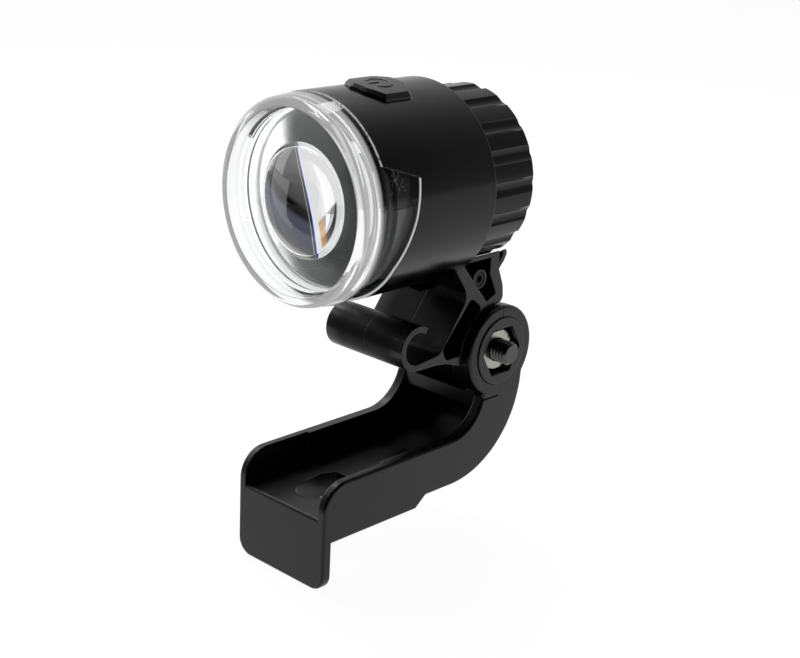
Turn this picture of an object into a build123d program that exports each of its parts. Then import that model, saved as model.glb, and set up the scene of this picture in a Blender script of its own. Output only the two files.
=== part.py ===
from build123d import *

import os
from math import cos, radians, sin

# Bicycle headlight: a round battery lamp on a two-part bracket with a tilt pivot.
# Millimetres. +Z is up, the lamp shines toward -Y, X runs across the bicycle.
# The origin lies on the seat face under the bracket plate, behind the bolt slot.
# A "station" is a distance along the lamp axis, behind the front edge of the lamp body.

# Lamp body
body_radius = 24.5
body_length = 35.6
body_wall = 2.0
neck_length = 7.6           # thicker rear part of the body that the cap screws into
body_edge_chamfer = 0.4
neck_step = 3.9             # how far the neck's bore lies inside the body's outside

# Clearances
fit_gap = 0.1               # between fixed pieces
slide_gap = 0.15            # beside the power button and between bracket flanks
thread_gap = 0.1            # radial, between cap thread and body
saddle_gap = 0.5            # between the turning cap and the bracket below it
ring_gap = 0.35             # around the pivot ring
split_gap = 0.2             # between the bearing halves above the pivot
bush_gap = 0.08             # radial, pivot journals in their bearings
cut_over = 5.0              # overrun of cutting tools past a surface

# Clear lens cap
nose_length = 6.9
rim_step = 0.7              # from the body's outside in to the rim's
rim_round = 1.3
rim_width = 2.4
recess_depth = 3.0
window_thickness = 1.8
plug_length = 4.5
plug_wall = 1.45
skirt_top_shares = (0.474, 0.327)      # height of the skirt's top edge, front and rear
skirt_rear_shares = ((0.433, 0.327), (0.363, -0.031), (0.270, -0.396), (0.241, -0.510))
seal_section = 1.1
seal_station = 2.4

# Optics
dome_radius = 12.2
dome_rise = 2.6
dome_station = -3.4         # equator of the projector lens
lens_flange_radius = 13.2
lens_flange_length = 1.9
lens_tail_radius = 11.8
lens_tail_length = 2.0
lens_tail_bulge = 2.3
bezel_thickness = 0.8
bezel_cone = 0.75           # how far the bezel's outer edge lies behind its inner edge
holder_wall = 1.5
holder_length = 9.9
holder_throat = 8.0
frame_wall = 1.5
frame_flange = 3.0
frame_end = 11.4
frame_split = 1.6           # height above the lamp axis where black frame meets grey reflector
board_radius = 12.6
board_thickness = 1.55
led_size = 3.5
led_height = 0.9
led_dome_radius = 1.5

# Electronics and power button
sink_thickness = 3.0
sink_rim_height = 1.5
sink_rim_wall = 1.7
driver_thickness = 1.2
coil_size = 5.0
coil_height = 1.2
coil_spread = 6.5
chip_length = 6.0
chip_width = 4.0
switch_board_width = 16.0
switch_board_length = 6.6
switch_board_thickness = 1.0
switch_size = 6.0
switch_height = 3.0
plunger_radius = 1.7
plunger_height = 0.55       # above the switch case
plunger_sink = 1.4          # depth of the plunger's well
button_angle = 8.2          # degrees from the top of the lamp towards +X
button_station_share = 0.455           # centre of the button, as a share of the body's length
button_width = 13.4
button_length = 13.6
button_corner_width = 4.4
button_corner_length = 2.8
button_rise = 1.35
button_bevel = 0.8
button_flange = 1.3
button_flange_thickness = 1.0
button_stem_radius = 3.0
button_stem_length = 1.35
button_travel = 0.4

# Battery
cell_count = 3
cell_radius_share = 0.414   # of the carrier's radius
cell_pitch_share = 0.532
cell_tip_radius = 2.6
cell_tip_height = 0.8
carrier_step = 0.4          # from the cap's bore in to the carrier
carrier_gap = 0.25
contact_radius = 4.0
contact_thickness = 0.9
plate_step = 0.4            # from the carrier in to the rear contact plate
plate_thickness = 0.8

# Rear cap
cap_step = 2.9              # from the body's outside in to the cap's
cap_length = 17.2
cap_wall = 1.8
cap_thread_wall = 1.5
cap_edge_chamfer = 0.7
cap_thread_length = 6.0
flute_count = 18
flute_depth = 0.75
flute_turn = 2.0            # degrees
cap_seal_section = 0.9
cap_seal_station = 1.6      # ahead of the cap's shoulder
cap_contact_radius = 8.0
cap_contact_thickness = 0.5
cap_contact_tip = 2.5
cap_contact_depth = 5.05    # from the cap's floor to the contact's tip

# Tilt pivot
pivot_reach = 15.8          # pivot behind the centre of the arm's bend
pivot_lift = 7.4            # pivot above the centre of the arm's bend
body_setback = 17.2         # rear edge of the lamp body, ahead of the pivot
ring_radius = 11.75
ring_width = 6.0
journal_radius = 8.75
journal_proud = 0.3
eye_radius = 11.2
bracket_half_width = 15.0
hex_mouth_flats = 12.1
hex_nut_flats = 10.3
nut_flats = 10.0
nut_thickness = 5.0
nut_depth = 1.4             # nut face below the journal face
bolt_radius = 3.0
bolt_bore_gap = 0.1
bolt_tip_proud = 3.3
bolt_tip_chamfer = 0.7
bolt_head_thickness = 4.0

# Truss bracket, in two mirrored halves
truss_half_width = 12.9
truss_reach = 28.85         # pivot to clip centre, along Y
saddle_lift = 21.7          # pivot to the bottom of the saddle, along Z
clip_rise = 6.2             # clip centre above the pivot
clip_radius = 5.65
clip_bore = 4.05
clip_lip_angle = 53.0
truss_web = 1.5
truss_rim = 1.0             # rim left between the saddle and the pocket
ring_rim = 0.95             # rim left between the pivot ring and the lower pocket
# Rows of y, z and corner radius, as shares of the truss's reach and rise.
truss_front_shares = ((-0.593, 0.628, 0), (-0.593, 0.548, 0.035), (-0.395, 0.365, 0.139),
                      (-0.724, 0.068, 0.087))
truss_floor_shares = ((-0.773, 0.011, 0), (-0.636, 0.000, 0), (-0.508, -0.027, 0), (-0.457, -0.040, 0))
truss_rear_shares = ((-0.087, 0.265, 0), (0.068, 0.281, 0.062), (0.050, 0.377, 0.139),
                     (-0.026, 0.498, 0.069), (-0.026, 0.628, 0))
pocket_shares = ((-0.520, 0.580, 0), (-0.159, 0.304, 0.021), (-0.035, 0.340, 0.021),
                 (-0.132, 0.468, 0.069), (-0.132, 0.616, 0))
slot_shares = ((-0.690, 0.091, 0), (-0.354, 0.349, 0), (-0.156, 0.250, 0), (-0.156, 0.114, 0),
               (-0.433, 0.021, 0), (-0.638, 0.021, 0))
tab_shares = ((-0.026, 0.475, 0), (0.042, 0.523, 0), (0.076, 0.562, 0.024), (0.059, 0.598, 0.017),
              (0.021, 0.594, 0.012), (0.021, 0.557, 0), (-0.026, 0.520, 0))
slot_round = 1.2
tab_inset = 4.0
boss_offset_shares = (-0.267, 0.450)
boss_radius = 2.5
boss_bore = 1.95
boss_head_depth = 2.2
boss_screw_radius = 1.0
screw_head_radius = 1.85
screw_head_height = 2.0
screw_socket_flats = 1.9
screw_socket_depth = 1.0
lug_half_thickness = 2.0
lug_overlap = 7.1           # length of the lug under the body
lug_margin = 1.5            # lug below its screw boss
lug_tail = 1.8              # lug behind its screw boss

# Lower bracket
lip_front = 27.6            # ahead of the origin
lip_thickness = 2.4
lip_drop = 12.3             # below the seat face
lip_corner = 4.2
edge_round = 0.7            # outer edges of lip, walls and pivot ring
plate_top = 6.25
plate_sheet = 3.55
wall_top = 14.7
wall_front_thickness = 2.2
wall_rear_thickness = 3.0
wall_step_y = -7.3          # where the walls grow thicker
wall_front_round = 7.0
seat_front_y = -3.8
seat_rear_y = 3.9
seat_ramp = 3.4
bend_y = 16.7
bend_outer_radius = 25.0
inner_bend_shift = 1.0      # the inner bend's centre lies ahead of the outer one
inner_bend_radius = 11.6
ring_blend = 2.0            # rounding between the arm's bend and the pivot ring
slot_front_y = -17.2        # centre of the slot's round front end
slot_front_radius = 4.4
slot_shoulder_y = -9.2      # where the slot is widest
slot_shoulder_half = 5.4
slot_end_y = -5.4
slot_end_half = 3.9
boss_wall = 2.4
foot_length = 5.5           # bearing cap foot, ahead of the pivot
foot_drop = 12.2            # bearing cap foot, below the pivot
bridge_drop = 15.2          # bottom of the bridge between the cap's two sides
bridge_height = 3.8
bridge_thickness = 2.2
cap_screw_x = 12.4
cap_boss_radius = 2.6
cap_screw_drop = 10.6
cap_screw_radius = 0.9
cap_screw_head_radius = 1.5
cap_screw_head_height = 1.3
cap_screw_grip = 4.0        # thread length in the bearing cap

# Worked out
wall_bottom = plate_top - plate_sheet
bend_height = wall_bottom + bend_outer_radius
pivot_y = bend_y + pivot_reach
pivot_height = bend_height + pivot_lift
cap_radius = body_radius - cap_step
saddle_radius = cap_radius + saddle_gap
truss_rise = saddle_lift + saddle_radius
axis_height = pivot_height + truss_rise
front_offset = body_length + body_setback - pivot_y
rim_radius = body_radius - rim_step
rim_inner = rim_radius - rim_width
neck_bore = body_radius - neck_step
cap_bore = neck_bore - thread_gap - cap_thread_wall
carrier_radius = cap_bore - carrier_step
plate_radius = carrier_radius - plate_step
cell_radius = cell_radius_share * carrier_radius
cell_pitch_radius = cell_pitch_share * carrier_radius
button_station = button_station_share * body_length
lug_start = body_length - lug_overlap
bore_radius = body_radius - body_wall
plug_radius = bore_radius - fit_gap
plug_bore = plug_radius - plug_wall
window_front = recess_depth - nose_length
window_back = window_front + window_thickness
dome_hole = dome_radius + fit_gap
flange_front = window_back + fit_gap
flange_back = flange_front + lens_flange_length
bezel_back = flange_front + bezel_cone + bezel_thickness
frame_front = bezel_back + fit_gap
frame_bore = plug_bore - fit_gap - frame_wall
board_front = holder_length + fit_gap / 2
sink_front = board_front + board_thickness
driver_front = sink_front + sink_thickness + sink_rim_height
driver_back = driver_front + driver_thickness
cell_front = driver_back + contact_thickness + fit_gap
bore_inner = bore_radius - fit_gap
cap_front = body_length + slide_gap
cap_back = cap_front + cap_length
cell_back = cap_back - cap_wall - cap_contact_depth - plate_thickness - fit_gap
button_flange_top = bore_radius - slide_gap
switch_top = button_flange_top - button_stem_length - plunger_height
switch_base = switch_top - switch_height
bay_floor = switch_base - switch_board_thickness - fit_gap / 2
eye_half_width = bracket_half_width - ring_width - slide_gap
bearing_radius = journal_radius + bush_gap
journal_end = bracket_half_width + journal_proud
nut_face = journal_end - nut_depth
nut_seat = nut_face - nut_thickness
bolt_bore = bolt_radius + bolt_bore_gap
bolt_tip = journal_end + bolt_tip_proud
boss_y = pivot_y + boss_offset_shares[0] * truss_reach
boss_z = pivot_height + boss_offset_shares[1] * truss_rise
clip_y = pivot_y - truss_reach
clip_z = pivot_height + clip_rise

lamp_axis = Axis((0, 0, axis_height), (0, 1, 0))


def station(distance):
    """Y of a station on the lamp axis."""
    return distance - front_offset


def side_face(points):
    """Face in the YZ plane from (y, z) points."""
    return Plane.YZ * make_face(Polyline(*points, close=True))


def across(face, start, end):
    """Extrude a side face from x = start to x = end."""
    return Pos(start, 0, 0) * extrude(face, end - start)


def x_rod(radius, start, end, y, z):
    """Cylinder along X."""
    return Pos((start + end) / 2, y, z) * Rot(0, 90, 0) * Cylinder(radius, end - start)


def y_rod(radius, start, end, x, z):
    """Cylinder along Y, between two Y places."""
    return Pos(x, (start + end) / 2, z) * Rot(90, 0, 0) * Cylinder(radius, end - start)


def disc(radius, start, end):
    """Cylinder on the lamp axis, between two stations."""
    return y_rod(radius, station(start), station(end), 0, axis_height)


def turned(points):
    """Solid of revolution about the lamp axis from (station, radius) points."""
    face = side_face([(station(s), axis_height + r) for s, r in points])
    return revolve(face, axis=lamp_axis)


def block(x_size, y_start, y_end, z_start, z_end):
    """Box centred on x = 0."""
    centre = Pos(0, (y_start + y_end) / 2, (z_start + z_end) / 2)
    return centre * Box(x_size, y_end - y_start, z_end - z_start)


def above(height):
    """Everything inside the lamp that lies higher than a height over the axis."""
    size = 2 * body_radius
    return block(2 * size, station(-size), station(2 * size), axis_height + height,
                 axis_height + height + size)


def at_button(shape):
    """Swing a shape about the lamp axis from the top of the lamp to the button's place."""
    return Pos(0, 0, axis_height) * Rot(0, button_angle, 0) * Pos(0, 0, -axis_height) * shape


def over_bay(height):
    """Everything in the lamp that lies further towards the button than a height over the axis."""
    return at_button(above(height))


# Lens cap

def skirt_prism(gap):
    """Side view of the clear skirt that is let into the body, widened by a gap."""
    front_top, rear_top = (share * body_radius for share in skirt_top_shares)
    rear = [(share_s * body_radius + gap, share_z * body_radius) for share_s, share_z in skirt_rear_shares]
    points = [(-fit_gap, front_top + gap), (rear[0][0], rear_top + gap)]
    points += rear[1:] + [(rear[-1][0], -2 * body_radius), (-fit_gap, -2 * body_radius)]
    face = side_face([(station(s), axis_height + z) for s, z in points])
    return across(face, -2 * body_radius, 2 * body_radius)


def make_lens_cap():
    plug_end = plug_length
    ring = turned([
        (window_front, dome_hole), (window_front, rim_inner), (-nose_length, rim_inner),
        (-nose_length, rim_radius), (0, body_radius), (0, plug_radius), (plug_end, plug_radius),
        (plug_end, plug_bore), (window_back, plug_bore), (window_back, dome_hole),
    ])
    nose = [edge for edge in ring.edges().filter_by(GeomType.CIRCLE)
            if abs(edge.center().Y - station(-nose_length)) < fit_gap]
    ring = fillet([edge for edge in nose if edge.radius > rim_inner + fit_gap], rim_round)
    skirt = disc(body_radius, 0, body_length) - disc(plug_radius, -cut_over, body_length + cut_over)
    skirt &= skirt_prism(0)
    groove_floor = bore_radius - seal_section - fit_gap
    half = seal_section / 2 + fit_gap
    groove = turned([(seal_station - half, groove_floor), (seal_station + half, groove_floor),
                     (seal_station + half, plug_radius), (seal_station - half, plug_radius)])
    return ring + skirt - groove


def make_lens_seal():
    minor = seal_section / 2
    major = plug_radius - minor
    return Pos(0, station(seal_station), axis_height) * Rot(90, 0, 0) * Torus(major, minor)


# Optics

def bulge(radius, rise, distance):
    """Depth of a spherical face at a distance from its axis."""
    sphere = (radius ** 2 + rise ** 2) / (2 * rise)
    return sphere - (sphere ** 2 - distance ** 2) ** 0.5


def make_projector_lens():
    apex = dome_station - dome_rise
    tail = flange_back + lens_tail_length
    tail_end = tail + lens_tail_bulge
    half_dome = dome_radius / 2
    half_tail = lens_tail_radius / 2
    front = [(station(apex), axis_height),
             (station(apex + bulge(dome_radius, dome_rise, half_dome)), axis_height + half_dome),
             (station(dome_station), axis_height + dome_radius)]
    middle = tail_end - bulge(lens_tail_radius, lens_tail_bulge, half_tail)
    back = [(station(tail), axis_height + lens_tail_radius),
            (station(middle), axis_height + half_tail),
            (station(tail_end), axis_height)]
    steps = [(dome_station, dome_radius), (flange_front, dome_radius), (flange_front, lens_flange_radius),
             (flange_back, lens_flange_radius), (flange_back, lens_tail_radius), (tail, lens_tail_radius)]
    outline = ThreePointArc(*front) + Polyline(*[(station(s), axis_height + r) for s, r in steps])
    outline += ThreePointArc(*back) + Line(back[-1], front[0])
    return revolve(Plane.YZ * make_face(outline), axis=lamp_axis)


def make_inner_bezel():
    inner = lens_flange_radius + fit_gap
    outer = plug_bore - fit_gap
    return turned([(flange_front, inner), (flange_front + bezel_cone, outer),
                   (bezel_back, outer), (flange_front + bezel_thickness, inner)])


def make_lens_holder():
    front = flange_back + fit_gap / 2
    bore = lens_tail_radius + fit_gap
    seat = flange_back + lens_tail_length + lens_tail_bulge
    return turned([(front, bore), (front, bore + holder_wall), (holder_length, bore + holder_wall),
                   (holder_length, holder_throat), (seat, bore)])


def frame_ring():
    """Ring behind the clear skirt, before it is split into its two pieces."""
    outer = plug_bore - fit_gap
    shoulder = plug_length + fit_gap
    return turned([(frame_front, frame_bore), (frame_front, outer), (shoulder, outer),
                   (shoulder, bore_inner - fit_gap), (frame_end, bore_inner - fit_gap),
                   (frame_end, bore_inner - frame_flange), (shoulder, frame_bore)])


def switch_bay():
    """Space under the power button."""
    reach = button_length / 2 + button_flange + 2 * fit_gap
    width = button_width + 2 * button_flange + 4 * fit_gap
    return at_button(block(width, station(button_station - reach), station(button_station + reach),
                           axis_height + bay_floor, axis_height + 2 * body_radius))


def make_optics_frame():
    return frame_ring() & above(frame_split) - switch_bay()


def make_side_reflector():
    return frame_ring() - above(frame_split - fit_gap)


def make_led_board():
    return disc(board_radius, board_front, sink_front) - over_bay(bay_floor - fit_gap)


def make_led():
    chip = Pos(0, station(board_front - led_height / 2), axis_height) * Box(led_size, led_height, led_size)
    dome = Pos(0, station(board_front - led_height), axis_height) * Sphere(led_dome_radius)
    return chip + (dome - disc(led_size, board_front - led_height, board_front + cut_over))


# Electronics

def make_heat_sink():
    plate = disc(bore_inner, sink_front, sink_front + sink_thickness)
    rim_end = driver_front
    rim = disc(bore_inner, sink_front, rim_end)
    rim -= disc(bore_inner - sink_rim_wall, sink_front + sink_thickness, rim_end + cut_over)
    return plate + rim - over_bay(bay_floor)


def make_driver_board():
    return disc(bore_inner, driver_front, driver_back) - over_bay(bay_floor)


def make_driver_parts():
    y_start = station(driver_front - coil_height)
    y_end = station(driver_front)
    parts = []
    for side in (-1, 1):
        coil = Box(coil_size, y_end - y_start, coil_size)
        parts.append(Pos(side * coil_spread, (y_start + y_end) / 2, axis_height) * coil)
    chip = Box(chip_length, y_end - y_start, chip_width)
    parts.append(Pos(0, (y_start + y_end) / 2, axis_height - coil_spread) * chip)
    return Compound(children=parts)


def make_switch_board():
    base = axis_height + switch_base - switch_board_thickness
    rear = driver_back
    return at_button(block(switch_board_width, station(rear - switch_board_length), station(rear),
                           base, base + switch_board_thickness))


def switch_y():
    return station(driver_back - switch_board_length / 2)


def switch_rod(radius, low, high):
    """Cylinder through the switch, between two heights over the lamp axis."""
    return Pos(0, switch_y(), axis_height + (low + high) / 2) * Cylinder(radius, high - low)


def make_power_switch():
    half = switch_size / 2
    case = block(switch_size, switch_y() - half, switch_y() + half, axis_height + switch_base,
                 axis_height + switch_top)
    well = switch_rod(plunger_radius + bush_gap, switch_top - plunger_sink, switch_top + plunger_sink)
    return at_button(case - well)


def make_switch_plunger():
    low = switch_top - plunger_sink + button_travel + fit_gap
    return at_button(switch_rod(plunger_radius, low, switch_top + plunger_height))


# Power button

def button_plan(grow):
    """Eight-sided plan of the button in the XY plane, grown on every side."""
    x = button_width / 2 + grow
    y = button_length / 2 + grow
    inner_x = x - button_corner_width
    inner_y = y - button_corner_length
    corners = [(-inner_x, -y), (inner_x, -y), (x, -inner_y), (x, inner_y),
               (inner_x, y), (-inner_x, y), (-x, inner_y), (-x, -inner_y)]
    plan = make_face(Polyline(*corners, close=True))
    return Pos(0, station(button_station), 0) * plan


def button_prism(grow):
    tall = 2 * body_radius
    return Pos(0, 0, axis_height) * extrude(button_plan(grow), tall)


def make_power_button():
    inner = button_flange_top - button_flange_thickness
    core = button_prism(0) & disc(body_radius + button_rise, 0, body_length)
    core = chamfer(core.faces().sort_by(Axis.Z)[-1].edges(), button_bevel)
    flange = button_prism(button_flange) & disc(button_flange_top, 0, body_length)
    button = core + flange - disc(inner, 0, body_length)
    stem = switch_rod(button_stem_radius, switch_top + plunger_height, button_flange_top)
    return at_button(button + stem)


# Lamp body

def lug_face(gap):
    """Side view of the lug under the body that the bracket halves clamp."""
    top = axis_height - saddle_radius + gap
    low = boss_z - boss_radius - lug_margin - gap
    tail = boss_radius + lug_tail + gap
    points = [(station(lug_start) - gap, axis_height - bore_radius - body_wall / 2),
              (station(body_length), axis_height - bore_radius - body_wall / 2),
              (station(body_length), top), (boss_y + tail, top),
              (boss_y + tail, boss_z - boss_radius), (boss_y, low),
              (station(body_length), low), (station(lug_start) - gap, axis_height - body_radius)]
    return side_face(points)


def make_lamp_body():
    neck_start = body_length - neck_length
    shell = turned([(0, bore_radius), (0, body_radius), (body_length, body_radius),
                    (body_length, neck_bore), (neck_start, neck_bore), (neck_start, bore_radius)])
    rear = [edge for edge in shell.edges().filter_by(GeomType.CIRCLE)
            if edge.center().Y > station(body_length) - fit_gap and edge.radius > neck_bore + fit_gap]
    shell = chamfer(rear, body_edge_chamfer)
    window = disc(body_radius + cut_over, -cut_over, body_length) & skirt_prism(fit_gap)
    shell -= window
    shell -= at_button(button_prism(slide_gap))
    lug = across(lug_face(0), -lug_half_thickness, lug_half_thickness)
    hole = x_rod(boss_screw_radius + fit_gap, -cut_over, cut_over, boss_y, boss_z)
    return shell + lug - hole


# Battery

def cell_places():
    for index in range(cell_count):
        angle = radians(-90 + index * 360 / cell_count)
        yield cell_pitch_radius * cos(angle), axis_height + cell_pitch_radius * sin(angle)


def make_cells():
    cells = []
    for x, z in cell_places():
        can = y_rod(cell_radius, station(cell_front + cell_tip_height), station(cell_back), x, z)
        tip = y_rod(cell_tip_radius, station(cell_front), station(cell_front + cell_tip_height), x, z)
        cells.append(can + tip)
    return Compound(children=cells)


def make_battery_carrier():
    body = disc(carrier_radius, driver_back + fit_gap, cell_back) - over_bay(bay_floor - fit_gap)
    for x, z in cell_places():
        body -= y_rod(cell_radius + carrier_gap, station(0), station(cell_back + cut_over), x, z)
    return body


def make_front_contacts():
    contacts = []
    for x, z in cell_places():
        start = station(driver_back + fit_gap / 2)
        contacts.append(y_rod(contact_radius, start, start + contact_thickness, x, z))
    return Compound(children=contacts)


def make_rear_contact_plate():
    start = cell_back + fit_gap / 2
    return disc(plate_radius, start, start + plate_thickness) - over_bay(bay_floor - fit_gap)


# Rear cap

def make_rear_cap():
    quarter_pitch = radians(90 / flute_count)
    chord = cap_radius * sin(quarter_pitch)
    flute_radius = (chord ** 2 + flute_depth ** 2) / (2 * flute_depth)
    flute_centre = cap_radius * cos(quarter_pitch) - flute_depth + flute_radius
    plan = Circle(cap_radius)
    for index in range(flute_count):
        angle = 4 * index * quarter_pitch + radians(flute_turn)
        plan -= Pos(flute_centre * cos(angle), flute_centre * sin(angle)) * Circle(flute_radius)
    barrel = Pos(0, station(cap_back), axis_height) * Rot(90, 0, 0) * extrude(plan, cap_length)
    cone_back = cap_back + fit_gap
    cone_front = cap_back - cap_edge_chamfer
    edge_cone = turned([(cone_front, cap_radius), (cone_back, cap_radius - cap_edge_chamfer),
                        (cone_back, cap_radius + fit_gap), (cone_front, cap_radius + fit_gap)])
    thread = disc(neck_bore - thread_gap, cap_front - cap_thread_length, cap_front + fit_gap)
    bore = disc(cap_bore, cap_front - cap_thread_length - cut_over, cap_back - cap_wall)
    middle = cap_front - cap_seal_station
    half = cap_seal_section / 2 + fit_gap / 2
    floor = neck_bore - cap_seal_section - fit_gap
    groove = turned([(middle - half, floor), (middle + half, floor),
                     (middle + half, neck_bore), (middle - half, neck_bore)])
    return barrel - edge_cone + thread - bore - groove


def make_cap_seal():
    minor = cap_seal_section / 2
    major = neck_bore - fit_gap / 2 - minor
    return Pos(0, station(cap_front - cap_seal_station), axis_height) * Rot(90, 0, 0) * Torus(major, minor)


def make_cap_contact():
    base = cap_back - cap_wall
    tip = cell_back + plate_thickness + fit_gap
    dish = base - cap_contact_thickness
    return turned([(base, 0), (base, cap_contact_radius), (dish, cap_contact_radius),
                   (tip, cap_contact_tip), (tip, 0)])


# Truss bracket

def truss_points(shares):
    """(y, z, corner radius) rows in millimetres from shares of the truss's reach and rise."""
    return [(pivot_y + y * truss_reach, pivot_height + z * truss_rise, corner * truss_reach)
            for y, z, corner in shares]


def rounded_face(rows):
    """Face in the YZ plane from (y, z, corner radius) rows."""
    face = make_face(Polyline(*[(y, z) for y, z, corner in rows], close=True))
    for y, z, corner in rows:
        if corner > 0:
            face = fillet(face.vertices().sort_by_distance((y, z, 0))[0], corner)
    return Plane.YZ * face


def truss_outline():
    """Side view of the truss without its clip and eye."""
    rows = truss_points(truss_front_shares)
    rows += [(clip_y, clip_z - clip_bore, 0), (clip_y, clip_z - clip_radius, 0)]
    rows += truss_points(truss_floor_shares)
    rows += [(pivot_y, pivot_height, 0)]
    rows += truss_points(truss_rear_shares)
    return rounded_face(rows)


def slot_face():
    """Side view of the long slot between the truss's struts and the pivot ring."""
    points = [(y, z) for y, z, corner in truss_points(slot_shares)]
    wall = Pos(pivot_y, pivot_height) * Circle(ring_radius + ring_gap + ring_rim)
    face = make_face(Polyline(*points, close=True)) - wall
    return Plane.YZ * fillet(face.vertices(), slot_round)


def clip_face():
    """Open clip ring: a circle with a mouth from its lip down to the floor."""
    ring = Pos(clip_y, clip_z) * (Circle(clip_radius) - Circle(clip_bore))
    far = 2 * clip_radius
    lip = radians(clip_lip_angle)
    mouth = make_face(Polyline((0, 0), (far * cos(lip), far * sin(lip)), (far, -far), (0, -far), close=True))
    return Plane.YZ * (ring - Pos(clip_y, clip_z) * mouth)


def pocket_tool(face, floor):
    return across(face, floor, truss_half_width + cut_over)


def hexagon_prism(flats_start, flats_end, start, end):
    """Hexagonal prism along X about the pivot, with its own flats at each end."""
    share = cos(radians(30)) * 2
    faces = []
    for flats, x in ((flats_start, start), (flats_end, end)):
        plane = Plane((x, pivot_y, pivot_height), x_dir=(0, 1, 0), z_dir=(1, 0, 0))
        faces.append(plane * RegularPolygon(flats / share, 6))
    return loft(faces)


def make_half(hardware_depth):
    """Near half of the truss; the far one is its mirror image."""
    web_floor = lug_half_thickness + fit_gap + truss_web
    rear = station(cap_back + cap_length)
    saddle = y_rod(saddle_radius, station(body_length) - cut_over, rear, 0, axis_height)
    rim = y_rod(saddle_radius + truss_rim, station(body_length) - cut_over, rear, 0, axis_height)
    ring_space = x_rod(ring_radius + ring_gap, eye_half_width, truss_half_width + cut_over,
                       pivot_y, pivot_height)
    half = across(truss_outline(), 0, truss_half_width)
    half += across(clip_face(), 0, truss_half_width)
    half -= pocket_tool(rounded_face(truss_points(pocket_shares)), web_floor) - rim
    half -= pocket_tool(slot_face(), truss_web)
    half += x_rod(boss_radius, truss_web, truss_half_width, boss_y, boss_z)
    tab_start = truss_half_width - tab_inset
    half += across(rounded_face(truss_points(tab_shares)), tab_start, truss_half_width)
    half -= saddle
    half -= ring_space
    half += x_rod(eye_radius, 0, eye_half_width, pivot_y, pivot_height)
    half += x_rod(journal_radius, 0, journal_end, pivot_y, pivot_height)
    half -= x_rod(bolt_bore, -cut_over, journal_end, pivot_y, pivot_height)
    half -= hexagon_prism(hex_nut_flats, hex_mouth_flats, hardware_depth, journal_end + fit_gap)
    half -= x_rod(boss_screw_radius + fit_gap, -cut_over, truss_half_width + cut_over, boss_y, boss_z)
    half -= x_rod(boss_bore, truss_half_width - boss_head_depth - fit_gap, truss_half_width + cut_over,
                  boss_y, boss_z)
    half -= across(lug_face(fit_gap), -cut_over, lug_half_thickness + fit_gap)
    return half


def make_bracket_half_near():
    return make_half(nut_seat)


def make_bracket_half_far():
    return mirror(make_half(nut_seat), about=Plane.YZ)


def make_bracket_screw():
    head_end = truss_half_width - fit_gap
    head_start = head_end - screw_head_height
    shank = x_rod(boss_screw_radius, -truss_half_width + boss_head_depth, head_start, boss_y, boss_z)
    head = x_rod(screw_head_radius, head_start, head_end, boss_y, boss_z)
    plane = Plane((head_end - screw_socket_depth, boss_y, boss_z), x_dir=(0, 1, 0), z_dir=(1, 0, 0))
    socket = extrude(plane * RegularPolygon(screw_socket_flats / 2, 6), screw_socket_depth + fit_gap)
    return shank + head - socket


# Pivot hardware

def make_pivot_bolt():
    head_seat = -nut_seat
    shank = x_rod(bolt_radius, head_seat, bolt_tip, pivot_y, pivot_height)
    tip = [edge for edge in shank.edges() if edge.center().X > bolt_tip - fit_gap]
    shank = chamfer(tip, bolt_tip_chamfer)
    head = hexagon_prism(nut_flats, nut_flats, head_seat - bolt_head_thickness, head_seat)
    return shank + head


def make_pivot_nut():
    nut = hexagon_prism(nut_flats, nut_flats, nut_seat + fit_gap / 2, nut_face)
    bore = x_rod(bolt_radius + fit_gap / 2, 0, journal_end, pivot_y, pivot_height)
    dome = Pos(nut_face, pivot_y, pivot_height) * Rot(0, -90, 0)
    ball_radius = nut_flats
    rounding = dome * Pos(0, 0, ball_radius * cos(radians(30))) * Sphere(ball_radius)
    return (nut - bore) & rounding


# Lower bracket

def bend_quarter(radius):
    """Side view of the rear bend, filled up to a radius."""
    quarter = Pos(bend_y + radius / 2, bend_height - radius / 2) * Rectangle(radius, radius)
    return (Pos(bend_y, bend_height) * Circle(radius)) & quarter


def wall_plan():
    """Side view of one wall with its pivot ring."""
    inner_y = bend_y - inner_bend_shift
    inner_z = wall_top + inner_bend_radius
    height = bend_outer_radius + ring_blend
    width = bend_outer_radius + inner_bend_shift
    corner = Pos(inner_y + width / 2, wall_bottom + height / 2) * Rectangle(width, height)
    start = Pos((inner_y + bend_y) / 2, bend_height) * Rectangle(inner_bend_shift, 2 * bend_outer_radius)
    solid = (Pos(bend_y, bend_height) * Circle(bend_outer_radius) + start) & corner
    solid -= Pos(inner_y, inner_z) * Circle(inner_bend_radius)
    over = Pos(inner_y, inner_z + bend_outer_radius / 2)
    solid -= over * Rectangle(2 * inner_bend_radius, bend_outer_radius)
    solid += Pos(pivot_y, pivot_height) * Circle(ring_radius)
    outline = [(-lip_front, 0), (seat_rear_y, 0), (seat_rear_y + seat_ramp, wall_bottom),
               (bend_y, wall_bottom), (bend_y, wall_top), (-lip_front, wall_top)]
    bar = make_face(Polyline(*outline, close=True))
    top = bar.vertices().sort_by(Axis.X)[:2].sort_by(Axis.Y)[-1]
    solid += fillet(top, wall_front_round)
    rear = solid.vertices().sort_by_distance((bend_y + bend_outer_radius, bend_height, 0))[0]
    front = solid.vertices().sort_by_distance((pivot_y - foot_length, pivot_height - ring_radius, 0))[0]
    return fillet([rear, front], ring_blend)


def cap_plan(grow):
    """Side view of the bearing cap: the front half of the ring, grown outwards, with its foot."""
    low = pivot_height - foot_drop
    foot = Pos(pivot_y - foot_length / 2, (low + pivot_height) / 2) * Rectangle(foot_length, foot_drop)
    radius = ring_radius + grow
    front = Pos(pivot_y - radius / 2, pivot_height) * Rectangle(radius, 2 * radius)
    return (Pos(pivot_y, pivot_height) * Circle(radius) & front) + foot


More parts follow.
